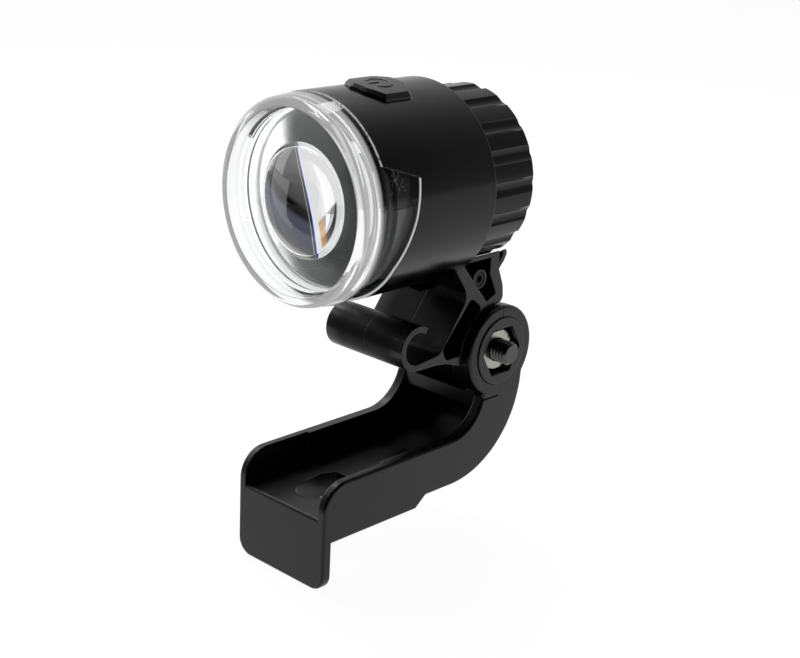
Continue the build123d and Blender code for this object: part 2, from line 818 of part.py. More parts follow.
def both_sides(plan, start, end):
    """Extrude a side view at both walls."""
    solid = across(Plane.YZ * plan, start, end)
    return solid + mirror(solid, about=Plane.YZ)


def slot_plan(grow):
    """Plan of the tapered bolt slot, grown outwards."""
    half = [(slot_front_radius, slot_front_y), (slot_shoulder_half, slot_shoulder_y),
            (slot_end_half, slot_end_y)]
    other = [(-x, y) for x, y in reversed(half)]
    plan = make_face(Polyline(*half, *other, close=True)) + Pos(0, slot_front_y) * Circle(slot_front_radius)
    return offset(plan, grow) if grow > 0 else plan


def cap_screw_bosses():
    """Ribs along the inner wall faces that carry the bearing cap screws."""
    z = pivot_height - cap_screw_drop
    ribs = Part() + [y_rod(cap_boss_radius, pivot_y, bend_y + bend_outer_radius, x, z)
                     for x in (-cap_screw_x, cap_screw_x)]
    return ribs & both_sides(bend_quarter(bend_outer_radius), 0, bracket_half_width - edge_round)


def cap_screw_holes(grow):
    """Shank and head tools of the two bearing cap screws."""
    z = pivot_height - cap_screw_drop
    head_y = bend_y + bend_outer_radius - cap_screw_head_height - fit_gap
    tools = []
    for x in (-cap_screw_x, cap_screw_x):
        shank = y_rod(cap_screw_radius + grow, pivot_y - cap_screw_grip, head_y + fit_gap, x, z)
        head_end = head_y + cap_screw_head_height + grow * cut_over
        head = y_rod(cap_screw_head_radius + grow, head_y, head_end, x, z)
        tools.append(shank + head)
    return tools


def make_lower_bracket():
    inner_rear = bracket_half_width - wall_rear_thickness
    inner_front = bracket_half_width - wall_front_thickness
    inset = bracket_half_width - edge_round
    wall = across(Plane.YZ * wall_plan(), inner_rear, bracket_half_width)
    wall = fillet(wall.faces().sort_by(Axis.X)[-1].edges(), edge_round)
    walls = wall + mirror(wall, about=Plane.YZ)
    slim = block(2 * inner_front, -lip_front - cut_over, wall_step_y, -cut_over, wall_top + cut_over)
    walls -= slim
    ears = both_sides(Pos(pivot_y, pivot_height) * Circle(ring_radius - fit_gap),
                      bracket_half_width - ring_width, inset)
    cap_space = both_sides(cap_plan(fit_gap), inner_rear - ring_width, bracket_half_width + cut_over)
    sides = walls + ears - cap_space
    plate = block(2 * inset, -lip_front + edge_round, bend_y, wall_bottom, plate_top)
    curve = bend_quarter(bend_outer_radius) - bend_quarter(bend_outer_radius - plate_sheet)
    bend = both_sides(curve, 0, inset)
    eye_space = x_rod(eye_radius + 2 * ring_gap, -eye_half_width - slide_gap, eye_half_width + slide_gap,
                      pivot_y, pivot_height)
    seat = block(2 * inner_front, seat_front_y, seat_rear_y, 0, plate_top)
    boss = extrude(slot_plan(boss_wall), plate_top)
    lip_plan = Pos(0, (plate_top - lip_drop) / 2) * Rectangle(2 * bracket_half_width, plate_top + lip_drop)
    low = lip_plan.vertices().sort_by(Axis.Y)[:2]
    lip_plane = Plane((0, -lip_front, 0), x_dir=(1, 0, 0), z_dir=(0, 1, 0))
    lip = extrude(lip_plane * mirror(fillet(low, lip_corner), about=Plane.XZ), lip_thickness)
    lip = fillet(lip.faces().sort_by(Axis.Y)[0].edges(), edge_round)
    bracket = sides + plate + (bend - eye_space) + seat + boss + lip + cap_screw_bosses()
    bracket -= extrude(slot_plan(0), plate_top + cut_over)
    bracket -= x_rod(bearing_radius, -2 * bracket_half_width, 2 * bracket_half_width, pivot_y, pivot_height)
    for tool in cap_screw_holes(fit_gap):
        bracket -= tool
    return bracket


def make_bearing_cap():
    side = across(Plane.YZ * cap_plan(0), bracket_half_width - ring_width, bracket_half_width)
    outer = side.faces().sort_by(Axis.X)[-1].edges()
    side = fillet([edge for edge in outer if edge.center().Y < pivot_y - split_gap], edge_round)
    sides = side + mirror(side, about=Plane.YZ)
    sides -= block(2 * bracket_half_width + cut_over, pivot_y - split_gap, pivot_y, pivot_height,
                   pivot_height + ring_radius + cut_over)
    inner = bracket_half_width - wall_rear_thickness - fit_gap
    low = pivot_height - bridge_drop
    front = pivot_y - foot_length
    bridge = block(2 * inner, front, front + bridge_thickness, low, low + bridge_height)
    bore = x_rod(bearing_radius, -2 * bracket_half_width, 2 * bracket_half_width, pivot_y, pivot_height)
    eye_space = x_rod(eye_radius + 2 * ring_gap, -eye_half_width - slide_gap, eye_half_width + slide_gap,
                      pivot_y, pivot_height)
    cap = sides + (bridge - eye_space) - bore
    for tool in cap_screw_holes(fit_gap):
        cap -= tool
    return cap


def make_bearing_cap_screws():
    return Compound(children=cap_screw_holes(0))


makers = {
    "lens_cap": make_lens_cap,
    "lens_seal": make_lens_seal,
    "projector_lens": make_projector_lens,
    "inner_bezel": make_inner_bezel,
    "lens_holder": make_lens_holder,
    "optics_frame": make_optics_frame,
    "side_reflector": make_side_reflector,
    "led": make_led,
    "led_board": make_led_board,
    "heat_sink": make_heat_sink,
    "driver_board": make_driver_board,
    "driver_parts": make_driver_parts,
    "switch_board": make_switch_board,
    "power_switch": make_power_switch,
    "switch_plunger": make_switch_plunger,
    "power_button": make_power_button,
    "lamp_body": make_lamp_body,
    "battery_carrier": make_battery_carrier,
    "battery_cells": make_cells,
    "front_contacts": make_front_contacts,
    "rear_contact_plate": make_rear_contact_plate,
    "rear_cap": make_rear_cap,
    "cap_seal": make_cap_seal,
    "cap_contact": make_cap_contact,
    "bracket_half_near": make_bracket_half_near,
    "bracket_half_far": make_bracket_half_far,
    "bracket_screw": make_bracket_screw,
    "pivot_bolt": make_pivot_bolt,
    "pivot_nut": make_pivot_nut,
    "bearing_cap": make_bearing_cap,
    "bearing_cap_screws": make_bearing_cap_screws,
    "lower_bracket": make_lower_bracket,
}

os.makedirs("parts", exist_ok=True)
for name, make in makers.items():
    export_step(make(), f"parts/{name}.step")
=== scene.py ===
import bpy
import numpy as np
from mathutils import Matrix, Vector


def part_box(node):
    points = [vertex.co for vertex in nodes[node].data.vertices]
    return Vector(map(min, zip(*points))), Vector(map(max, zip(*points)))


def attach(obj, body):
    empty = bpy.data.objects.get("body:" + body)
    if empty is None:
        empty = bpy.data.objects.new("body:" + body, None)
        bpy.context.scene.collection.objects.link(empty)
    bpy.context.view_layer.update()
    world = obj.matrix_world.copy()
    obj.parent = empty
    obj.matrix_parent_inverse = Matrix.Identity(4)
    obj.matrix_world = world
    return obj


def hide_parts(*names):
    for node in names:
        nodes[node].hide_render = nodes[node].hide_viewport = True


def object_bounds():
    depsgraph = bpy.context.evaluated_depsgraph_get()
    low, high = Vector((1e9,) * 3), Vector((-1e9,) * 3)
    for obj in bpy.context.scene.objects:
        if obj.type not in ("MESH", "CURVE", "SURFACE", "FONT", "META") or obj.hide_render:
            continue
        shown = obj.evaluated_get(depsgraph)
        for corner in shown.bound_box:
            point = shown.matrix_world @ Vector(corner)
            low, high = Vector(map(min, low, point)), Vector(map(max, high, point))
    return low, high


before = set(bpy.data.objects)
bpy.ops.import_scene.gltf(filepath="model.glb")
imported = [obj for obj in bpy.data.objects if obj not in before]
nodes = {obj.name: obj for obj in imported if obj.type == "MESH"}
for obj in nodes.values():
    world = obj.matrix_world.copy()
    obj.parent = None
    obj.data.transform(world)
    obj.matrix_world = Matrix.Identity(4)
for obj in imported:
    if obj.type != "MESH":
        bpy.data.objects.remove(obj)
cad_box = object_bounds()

mm = 0.001


# The camera stands where the photograph was taken: in front of the lamp, to its right and a
# little above it. Its place and turn come from the lamp's circles and the arm's straight edges.

camera_place = Vector((241.8, -249.8, 162.6)) * mm
camera_right = Vector((0.721245, 0.691034, 0.047721))
camera_up = Vector((-0.256077, 0.201992, 0.945317))
camera_back = Vector((0.643607, -0.694025, 0.322644))
camera_lens = 68.41
sensor_width = 36.0
nearest_shown = 10 * mm

camera = bpy.data.cameras.new("camera")
camera.lens = camera_lens
camera.sensor_width = sensor_width
camera.sensor_fit = "HORIZONTAL"
camera.clip_start = nearest_shown
camera_object = bpy.data.objects.new("camera", camera)
camera_turn = Matrix((camera_right, camera_up, camera_back)).transposed()
camera_object.matrix_world = Matrix.Translation(camera_place) @ camera_turn.to_4x4()
bpy.context.scene.collection.objects.link(camera_object)
bpy.context.scene.camera = camera_object
bpy.context.scene.view_settings.view_transform = "Standard"


# The light: a room that is white behind the part and dark on the camera's side, a large soft
# lamp overhead and a weaker one at the left. The camera sees the room itself as plain white.

room_light = 0.8
dark_side = 0.015
dark_side_rise = 0.55
room_tones = ((-1.0, 1.0), (-0.24, 0.85), (0.2, 0.12), (0.6, dark_side))
lamp_aim = Vector((0.0, 0.0, 0.05))
lamp_size = 0.5
key_place = Vector((-0.25, 0.15, 0.7))
key_power = 4.4
side_place = Vector((-0.6, -0.1, 0.3))
side_power = key_power * 0.4


class Value:
    """One output of a shader node; sums and products on Values add their Math nodes."""

    def __init__(self, finish, socket):
        self.finish = finish
        self.socket = socket

    def math(self, operation, first, second=0.0):
        return self.finish.node("ShaderNodeMath", {"operation": operation}, {0: first, 1: second})

    def __abs__(self):
        return self.math("ABSOLUTE", self)

    def __add__(self, other):
        return self.math("ADD", self, other)

    def __radd__(self, other):
        return self.math("ADD", other, self)

    def __sub__(self, other):
        return self.math("SUBTRACT", self, other)

    def __rsub__(self, other):
        return self.math("SUBTRACT", other, self)

    def __mul__(self, other):
        return self.math("MULTIPLY", self, other)

    def __rmul__(self, other):
        return self.math("MULTIPLY", other, self)


def colour(tone):
    """Colour with full alpha from a grey level or from (red, green, blue)."""
    if isinstance(tone, (int, float)):
        return (tone, tone, tone, 1.0)
    return (*tone, 1.0)


class Finish:
    """A material, or the world, with its node tree."""

    def __init__(self, name, owner=None):
        self.block = owner or bpy.data.materials.new(name)
        self.block.use_nodes = True
        self.tree = self.block.node_tree
        self.tree.nodes.clear()
        kind = "ShaderNodeOutputWorld" if owner else "ShaderNodeOutputMaterial"
        self.output = self.tree.nodes.new(kind)

    def node(self, kind, settings=None, inputs=None, output=0):
        """Adds a node: settings first, then its sockets' values or links; returns one output."""
        made = self.tree.nodes.new(kind)
        for key, value in (settings or {}).items():
            if key == "stops":
                first, last = made.color_ramp.elements
                first.position, first.color = value[0]
                last.position, last.color = value[-1]
                for place, shade in value[1:-1]:
                    made.color_ramp.elements.new(place).color = shade
            else:
                setattr(made, key, value)
        for key, value in (inputs or {}).items():
            self.put(made.inputs[key], value)
        return Value(self, made.outputs[output])

    def put(self, socket, value):
        """Links a Value to a socket, or sets the socket to a number, a vector or a tone."""
        if isinstance(value, Value):
            self.tree.links.new(value.socket, socket)
        elif socket.type == "RGBA":
            socket.default_value = colour(value)
        else:
            socket.default_value = value

    def place(self):
        """Object coordinates, in metres."""
        return self.node("ShaderNodeTexCoord", output="Object")

    def axis(self, letter):
        """One of the object coordinates X, Y or Z, in metres."""
        return self.node("ShaderNodeSeparateXYZ", {}, {0: self.place()}, output=letter)

    def vector(self, operation, first, second=(0, 0, 0), output="Vector"):
        """Vector Math node."""
        return self.node("ShaderNodeVectorMath", {"operation": operation}, {0: first, 1: second}, output)

    def noise(self, size, detail=3.0, stretch=(1, 1, 1)):
        """Cloudy pattern from 0 to 1 whose patches are about size wide, in metres."""
        vector = self.node("ShaderNodeMapping", {}, {"Vector": self.place(), "Scale": stretch})
        inputs = {"Vector": vector, "Scale": 1 / size, "Detail": detail}
        return self.node("ShaderNodeTexNoise", {}, inputs)

    def bands(self, value, stops):
        """Tones along a value; each stop is a place on the value's own scale and a tone."""
        start = stops[0][0]
        reach = stops[-1][0] - start
        shares = [((place - start) / reach, colour(tone)) for place, tone in stops]
        return self.node("ShaderNodeValToRGB", {"stops": shares}, {0: (value - start) * (1 / reach)})

    def rise(self, value, start, end):
        """0 up to the start and 1 from the end on, with a straight rise between them."""
        return self.bands(value, ((start, 0.0), (end, 1.0)))

    def blend(self, share, first, second, kind="MIX"):
        """Two tones mixed: the first at share 0, the second at share 1."""
        settings = {"data_type": "RGBA", "blend_type": kind}
        return self.node("ShaderNodeMix", settings, {0: share, 6: first, 7: second}, output=2)

    def layer(self, share, first, second):
        """Two surfaces mixed: the first at share 0, the second at share 1."""
        return self.node("ShaderNodeMixShader", {}, {0: share, 1: first, 2: second})

    def glow(self, tone, strength=1.0):
        """Surface that gives off light."""
        return self.node("ShaderNodeEmission", {}, {"Color": tone, "Strength": strength})

    def matt(self, tone):
        """Perfectly matt surface."""
        return self.node("ShaderNodeBsdfDiffuse", {}, {"Color": tone})

    def rays(self, *kinds):
        """1 on rays of the named kinds, such as Camera or Shadow, and 0 on the others."""
        found = [self.node("ShaderNodeLightPath", output=f"Is {kind} Ray") for kind in kinds]
        return sum(found[1:], found[0])

    def inside(self):
        """1 where a surface is seen from its inner side, else 0."""
        return self.node("ShaderNodeNewGeometry", output="Backfacing")

    def bump(self, height, depth, edge=0.2 * mm):
        """Normal of a fine relief, with the surface's edges shaded as rounded by a radius."""
        eased = self.node("ShaderNodeBevel", {"samples": 6}, {"Radius": edge})
        return self.node("ShaderNodeBump", {}, {"Height": height, "Distance": depth, "Normal": eased})

    def principled(self, **inputs):
        """Principled surface; underscores in the names stand for spaces."""
        named = {key.replace("_", " "): value for key, value in inputs.items()}
        return self.node("ShaderNodeBsdfPrincipled", {}, named)

    def close(self, surface):
        """Ends the tree with a surface and returns the material or the world."""
        self.tree.links.new(surface.socket, self.output.inputs["Surface"])
        return self.block


world = Finish("room", owner=bpy.data.worlds.new("room"))
bpy.context.scene.world = world.block
direction = world.node("ShaderNodeTexCoord", output="Generated")
dark_direction = Vector((camera_back.x, camera_back.y, dark_side_rise)).normalized()
facing = world.vector("DOT_PRODUCT", direction, dark_direction, output="Value")
lit = world.bands(facing, room_tones)
plain = world.node("ShaderNodeBackground", {}, {"Color": 1.0, "Strength": 1.0})
room = world.node("ShaderNodeBackground", {}, {"Color": lit, "Strength": room_light})
world.close(world.layer(world.rays("Camera", "Transmission"), room, plain))


def soft_lamp(name, place, power):
    """Square area lamp at a place, turned towards the lamp body."""
    lamp = bpy.data.lights.new(name, "AREA")
    lamp.energy = power
    lamp.size = lamp_size
    lamp_object = bpy.data.objects.new(name, lamp)
    lamp_object.location = place
    lamp_object.rotation_euler = (lamp_aim - place).to_track_quat("-Z", "Y").to_euler()
    bpy.context.scene.collection.objects.link(lamp_object)


soft_lamp("key_lamp", key_place, key_power)
soft_lamp("side_lamp", side_place, side_power)


# The floor is white and glows where it is seen, as paper in a light tent does. Two cards just
# over it show in reflections alone, and their common edge parts the bezel's reflection into a
# white and a dark side.

floor_drop = 0.3 * mm
floor_reach = 3.0
floor_tone = 0.6
seen_floor_tone = 0.07
seen_floor_glow = 0.96
card_gap = 1 * mm
card_edge = ((-0.128, -0.122), (-0.176, -0.134), (-0.855, -0.701), (-2.6, -2.1))
dark_corners = ((-2.6, -2.9), (1.0, -2.9), (1.0, -0.122))
dark_card_tone = 0.055
bright_corners = ((-2.6, -0.1), (-0.128, -0.1))
bright_card_glow = 1.7

floor_height = cad_box[0][2] - floor_drop
floor_corners = [(x * floor_reach, y * floor_reach) for x, y in ((-1, -1), (1, -1), (1, 1), (-1, 1))]


def flat_sheet(name, outline, height, material):
    """Level sheet with one face, whose outline is given in x and y."""
    mesh = bpy.data.meshes.new(name)
    mesh.from_pydata([(x, y, height) for x, y in outline], [], [range(len(outline))])
    mesh.materials.append(material)
    sheet = bpy.data.objects.new(name, mesh)
    bpy.context.scene.collection.objects.link(sheet)
    return sheet


def white_floor():
    """Matt white for the light's sake; to the camera and in reflections, white that glows."""
    finish = Finish("white_floor")
    shown = finish.node("ShaderNodeAddShader", {},
                        {0: finish.matt(seen_floor_tone), 1: finish.glow(1.0, seen_floor_glow)})
    seen = finish.rays("Camera", "Glossy", "Transmission")
    return finish.close(finish.layer(seen, finish.matt(floor_tone), shown))


def floor_card(name, outline, material):
    """Card just over the floor that neither the camera nor diffuse light sees."""
    card = flat_sheet(name, outline, floor_height + card_gap, material)
    card.visible_camera = False
    card.visible_diffuse = False


floor_object = flat_sheet("floor", floor_corners, floor_height, white_floor())
dark_card = Finish("dark_card")
dark_outline = (card_edge + dark_corners)[::-1]
floor_card("dark_card", dark_outline, dark_card.close(dark_card.matt(dark_card_tone)))
bright_card = Finish("bright_card")
bright_outline = card_edge + bright_corners
floor_card("bright_card", bright_outline, bright_card.close(bright_card.glow(1.0, bright_card_glow)))


# Lamp body: a turned-looking moulding in black nylon with a fine satin skin. The shading
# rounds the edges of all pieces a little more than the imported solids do.

sharp_angle = np.radians(32)
weld_distance = 0.002 * mm
patch_size = 9 * mm
patch_dullness = 0.10
flow_size = 2.2 * mm
flow_stretch = (1, 0.15, 1)
flow_dullness = 0.06


def smoothing_group():
    """Smooth shading on every face, with edges over the sharp angle kept sharp."""
    group = bpy.data.node_groups.new("smooth_by_angle", "GeometryNodeTree")
    group.interface.new_socket("Geometry", in_out="INPUT", socket_type="NodeSocketGeometry")
    group.interface.new_socket("Geometry", in_out="OUTPUT", socket_type="NodeSocketGeometry")
    start = group.nodes.new("NodeGroupInput")
    end = group.nodes.new("NodeGroupOutput")
    angle = group.nodes.new("GeometryNodeInputMeshEdgeAngle")
    gentle = group.nodes.new("FunctionNodeCompare")
    gentle.data_type = "FLOAT"
    gentle.operation = "LESS_THAN"
    gentle.inputs[1].default_value = sharp_angle
    faces = group.nodes.new("GeometryNodeSetShadeSmooth")
    faces.domain = "FACE"
    edges = group.nodes.new("GeometryNodeSetShadeSmooth")
    edges.domain = "EDGE"
    group.links.new(start.outputs[0], faces.inputs["Geometry"])
    group.links.new(faces.outputs[0], edges.inputs["Geometry"])
    group.links.new(angle.outputs["Unsigned Angle"], gentle.inputs[0])
    group.links.new(gentle.outputs[0], edges.inputs["Shade Smooth"])
    group.links.new(edges.outputs[0], end.inputs[0])
    return group


smoothing = smoothing_group()


def smooth_by_angle(piece):
    """Adds the smoothing group to a piece."""
    smooth = piece.modifiers.new("smooth", "NODES")
    smooth.node_group = smoothing


def dress(name, material):
    """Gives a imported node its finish, welds its triangles and shades its curves smooth."""
    piece = nodes[name]
    for slot in piece.material_slots:
        slot.material = material
    weld = piece.modifiers.new("weld", "WELD")
    weld.merge_threshold = weld_distance
    smooth_by_angle(piece)
    flats = piece.modifiers.new("flat_faces", "WEIGHTED_NORMAL")
    flats.keep_sharp = True


def moulded_black(name, level=0.003, gloss=0.24, grain=0.16 * mm, depth=0.005 * mm,
                  edge=0.25 * mm, ior=1.38):
    """Black moulded nylon: spark-eroded grain, and a skin that is a little duller in patches."""
    finish = Finish(name)
    skin = finish.noise(grain, detail=2.0)
    patches = finish.noise(patch_size, detail=4.0)
    flow = finish.noise(flow_size, detail=2.0, stretch=flow_stretch)
    shade = finish.bands(patches, ((0.3, level * 0.8), (0.7, level * 1.25)))
    dull = gloss + (patches - 0.5) * patch_dullness + (flow - 0.5) * flow_dullness
    surface = finish.principled(Base_Color=shade, Roughness=dull, IOR=ior,
                                Normal=finish.bump(skin, depth, edge))
    return finish.close(surface)


body_black = moulded_black("body_black", level=0.002, gloss=0.18, edge=0.45 * mm, ior=1.31)
dress("lamp_body", body_black)


# Inside the body: an aluminium heat sink and the driver and switch boards with their parts.
# They are pressed in from behind, and the lamp hides them once it is closed.

blotch_size = 6 * mm
blotch_shade = 0.8
blotch_dullness = 0.15
line_stretch = (1, 0.08, 1)
weave_scale = 700.0
weave_distortion = 0.5


def machined(name, metal, rough, grain=0.4 * mm, depth=0.004 * mm):
    """Turned or rolled metal with fine lines and uneven dullness."""
    finish = Finish(name)
    lines = finish.noise(grain, detail=3.0, stretch=line_stretch)
    blotch = finish.noise(blotch_size, detail=3.0)
    tone = finish.blend(blotch, [blotch_shade * part for part in metal], metal)
    surface = finish.principled(Base_Color=tone, Metallic=1.0,
                                Roughness=rough + (blotch - 0.5) * blotch_dullness,
                                Normal=finish.bump(lines, depth))
    return finish.close(surface)


def board_green():
    """Solder mask over glass cloth, whose weave shows faintly."""
    finish = Finish("circuit_board")
    weave = finish.node("ShaderNodeTexWave", {"bands_direction": "DIAGONAL"},
                        {"Vector": finish.place(), "Scale": weave_scale, "Distortion": weave_distortion})
    tone = finish.blend(weave, (0.01, 0.11, 0.04), (0.02, 0.17, 0.07))
    surface = finish.principled(Base_Color=tone, Roughness=0.3, Normal=finish.bump(weave, 0.01 * mm))
    return finish.close(surface)


aluminium = machined("bare_aluminium", (0.75, 0.76, 0.77), 0.35)
inner_black = moulded_black("inner_black", level=0.02, gloss=0.45)
mask_green = board_green()
dress("heat_sink", aluminium)
for board in ("driver_board", "switch_board"):
    dress(board, mask_green)
dress("driver_parts", moulded_black("ferrite_black", level=0.03, gloss=0.55))
dress("power_switch", inner_black)
dress("switch_plunger", inner_black)


# Light source: one white diode on its board, behind a clear lens that a black tube holds. The
# lens glows with a painted picture of the lit tube behind it: painted light and shade in place
# of what the glass shows.

clear_polish = 0.015
ripple_size = 3 * mm
ripple_depth = 0.004 * mm
wall_polish = 0.03
wall_shine = 0.02
# Painted highlight: the glow of a thin wall's cut edges.
painted_edge_glow = 0.5

# Painted picture on the projector lens, all given as glow: painted shade on its left, the painted
# reflection of the white wall on its right, a painted highlight at its rim and a painted blue fringe.
lens_tint = (0.35, 0.35, 0.37)
painted_rim_start = 11.605
painted_rim_end = 11.92
painted_rim_tone = 0.7
painted_wall_tone = 0.72
line_softness = 0.1
slope_softness = 0.72
painted_dark_tones = ((-12.0, 0.30), (-10.08, 0.05), (-7.2, (0.045, 0.05, 0.075)),
                   (-2.4, (0.05, 0.055, 0.08)), (-0.96, 0.0), (0.72, 0.0), (1.92, 0.06),
                   (7.2, 0.11), (12.0, 0.2))
painted_low_right_tones = ((0.0, 0.7), (1.2, 0.7), (1.5, (0.55, 0.30, 0.10)), (2.7, (0.30, 0.20, 0.10)),
                   (3.1, 0.12), (5.0, 0.02), (7.0, 0.05), (8.0, 0.3))
painted_fringe_tones = ((-1.1, 0.0), (-0.9, 0.30), (-0.7, 0.0), (-0.3, 0.0), (0.0, (0.10, 0.16, 0.60)),
                (0.4, 0.0))

cap_low, cap_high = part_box("rear_cap")
lamp_axis_height = (cap_low.z + cap_high.z) / 2


def clear_plastic(finish, shown=0.0, thin=None, outline=None, haze=None, tint=(0.97, 0.98, 0.98),
                  ior=1.49):
    """Clear moulding; shadow and diffuse rays pass it, so that what lies behind stays lit.

    Shown is a painted picture of light and shade that the moulding glows with. Thin is the share
    of a wall that doesn't bend the light, whose cut edges glow with a painted highlight where
    outline is 1, and haze the share of a painted white glow.
    """
    waves = finish.noise(ripple_size, detail=1.0)
    glass = finish.principled(Base_Color=tint, Roughness=clear_polish, IOR=ior,
                              Transmission_Weight=1.0, Normal=finish.bump(waves, ripple_depth),
                              Emission_Color=shown, Emission_Strength=1.0)
    if thin:
        pane = finish.node("ShaderNodeBsdfTransparent", {}, {"Color": tint})
        gloss = finish.node("ShaderNodeBsdfGlossy", {}, {"Color": 1.0, "Roughness": wall_polish})
        wall = finish.layer(wall_shine, pane, gloss)
        # Painted highlight: the cut edges glow.
        glass = finish.layer(thin, glass, finish.layer(outline, wall, finish.glow(painted_edge_glow)))
    if haze:
        # Painted glow: the milky haze gives off white light.
        glass = finish.layer(haze * (1.0 - finish.inside()), glass, finish.glow(1.0))
    passed = finish.node("ShaderNodeBsdfTransparent", {}, {"Color": tint})
    return finish.close(finish.layer(finish.rays("Shadow", "Diffuse"), glass, passed))


def painted_lens_view():
    """Projector lens that glows with a painted picture of the lit tube behind it.

    All places are in millimetres, with v the height over the lamp axis. The upright line is
    x = 5.4 - 0.29 v - 0.0233 v^2. Left of it the lens is painted dark, as painted shade, with
    the black arc v = -0.4 - 0.35 x + 0.011 x^2 across it. Right of it is the painted reflection
    of the white wall, with a painted highlight at the rim, and below v = 1.3 x - 12.3 an amber
    stripe and the dark diode. The blue fringe of the glass is painted as well.
    """
    finish = Finish("clear_lens")
    x = finish.axis("X") * (1 / mm)
    v = (finish.axis("Z") - lamp_axis_height) * (1 / mm)
    past_line = x - 5.4 + 0.29 * v + 0.0233 * v * v
    over_arc = v + 0.4 + 0.35 * x - 0.011 * x * x
    over_slope = v - 1.3 * x + 12.3
    painted_rim = finish.rise(x * x + v * v, painted_rim_start ** 2, painted_rim_end ** 2)
    low_right = finish.blend(painted_rim, finish.bands(past_line, painted_low_right_tones), painted_rim_tone)
    above = finish.rise(over_slope, -slope_softness, 0.0)
    right = finish.blend(above, low_right, painted_wall_tone)
    left = finish.bands(over_arc, painted_dark_tones)
    both = finish.blend(finish.rise(past_line, -line_softness, line_softness), left, right)
    fringed = finish.blend(1.0, both, finish.bands(past_line, painted_fringe_tones), kind="ADD")
    # The painted picture of light and shade is the lens's glow.
    return clear_plastic(finish, shown=finish.blend(finish.inside(), fringed, 0.0), tint=lens_tint)


def phosphor():
    """Yellow phosphor under the diode's dome, its tone varying in fine patches."""
    finish = Finish("phosphor_yellow")
    tone = finish.blend(finish.noise(0.4 * mm), (0.8, 0.6, 0.1), (0.9, 0.75, 0.25))
    return finish.close(finish.principled(Base_Color=tone, Roughness=0.25))


dress("led_board", mask_green)
dress("led", phosphor())
dress("lens_holder", moulded_black("tube_black", level=0.01, gloss=0.5))
dress("projector_lens", painted_lens_view())


# Bezel and frame: a silver-coated ring round the lens, in front of the black frame and the
# grey reflector that show through the clear skirt.

glue_place = Vector((20.6, -15.0, 86.6)) * mm
glue_fading = 0.05 / mm


def silver_coat():
    """Vacuum-coated plastic: bright, slightly hazy, with faint unevenness."""
    finish = Finish("silver_coat")
    haze = finish.noise(4 * mm, detail=4.0)
    fine = finish.noise(0.3 * mm)
    surface = finish.principled(Base_Color=0.95, Metallic=1.0, Roughness=0.09 + haze * 0.03,
                                Normal=finish.bump(fine, 0.0007 * mm))
    return finish.close(surface)


def moulded_grey():
    """Pale grey moulding with a fine grain."""
    finish = Finish("moulded_grey")
    tone = finish.bands(finish.noise(5 * mm), ((0.3, 0.22), (0.7, 0.28)))
    grain = finish.noise(0.2 * mm)
    surface = finish.principled(Base_Color=tone, Roughness=0.42, Normal=finish.bump(grain, 0.004 * mm))
    return finish.close(surface)


def glued_black():
    """Black moulding with a few whitish crumbs of glue at one place behind the window's skirt."""
    finish = Finish("glued_black")
    spot = finish.vector("DISTANCE", finish.place(), glue_place, output="Value")
    crumbs = finish.noise(0.8 * mm, detail=6.0) - spot * glue_fading
    tone = finish.bands(crumbs, ((0.46, 0.002), (0.56, 0.5)))
    surface = finish.principled(Base_Color=tone, Roughness=0.35, IOR=1.2,
                                Normal=finish.bump(crumbs, 0.01 * mm))
    return finish.close(surface)


dress("inner_bezel", silver_coat())
dress("optics_frame", glued_black())
dress("side_reflector", moulded_grey())


# Window: the clear cap is let into the front of the body over a black sealing ring. The
# stations where its finish changes are measured along Y and outwards from the lamp axis.

# The rim's milky haze is a painted glow, and the skirt's cut edges carry a painted highlight.
milky_glow_reach = (21.0 * mm, 21.8 * mm)
milky_glow_end = (-22.7 * mm, -21.9 * mm)
milky_glow_share = 0.36
skirt_start = (-21.7 * mm, -20.9 * mm)
painted_edge_reach = (23.825 * mm, 24.075 * mm)
painted_edge_turn = (0.5, 0.6)


def soft_rubber():
    """Black rubber with a dull bloom."""
    finish = Finish("soft_rubber")
    bloom = finish.noise(1.5 * mm, detail=5.0)
    tone = finish.bands(bloom, ((0.3, 0.012), (0.8, 0.03)))
    surface = finish.principled(Base_Color=tone, Roughness=0.65, Normal=finish.bump(bloom, 0.01 * mm))
    return finish.close(surface)


def clear_window():
    """Clear window whose thick rim glows a little white: a painted glow in place of the light in the rim.

    The painted glow lies where the distance from the lamp axis and the station forward of the body
    are both large. Behind it the skirt is a thin wall, and its cut edges, whose normals lie
    across the spokes from the axis, carry a painted highlight.
    """
    finish = Finish("clear_window")
    axis_point = (0.0, 0.0, lamp_axis_height)
    flat = finish.vector("MULTIPLY", finish.place(), (1.0, 0.0, 1.0))
    reach = finish.vector("DISTANCE", flat, axis_point, output="Value")
    spoke = finish.vector("NORMALIZE", finish.vector("SUBTRACT", flat, axis_point))
    normal = finish.node("ShaderNodeNewGeometry", output="True Normal")
    along_spoke = abs(finish.vector("DOT_PRODUCT", spoke, normal, output="Value"))
    station = finish.axis("Y")
    milky_glow = finish.rise(reach, *milky_glow_reach) * (1.0 - finish.rise(station, *milky_glow_end))
    painted_edge = (1.0 - finish.rise(along_spoke, *painted_edge_turn)) * finish.rise(reach, *painted_edge_reach)
    return clear_plastic(finish, thin=finish.rise(station, *skirt_start), outline=painted_edge,
                         haze=milky_glow * milky_glow_share, ior=1.44)


rubber = soft_rubber()
dress("lens_seal", rubber)
dress("lens_cap", clear_window())


# Battery: three cells in a black carrier, with nickel-plated contacts at both ends. The spring
# contact of the rear cap sits in that cap and turns with it.

nickel = machined("nickel_plate", (0.70, 0.67, 0.60), 0.25)
dress("battery_carrier", inner_black)
dress("battery_cells", nickel)
for contact in ("front_contacts", "rear_contact_plate", "cap_contact"):
    dress(contact, nickel)


# Power button: a black rubbery moulding with a bevelled top and a raised power symbol, which
# is a ring that is open towards the front and a bar through the opening.

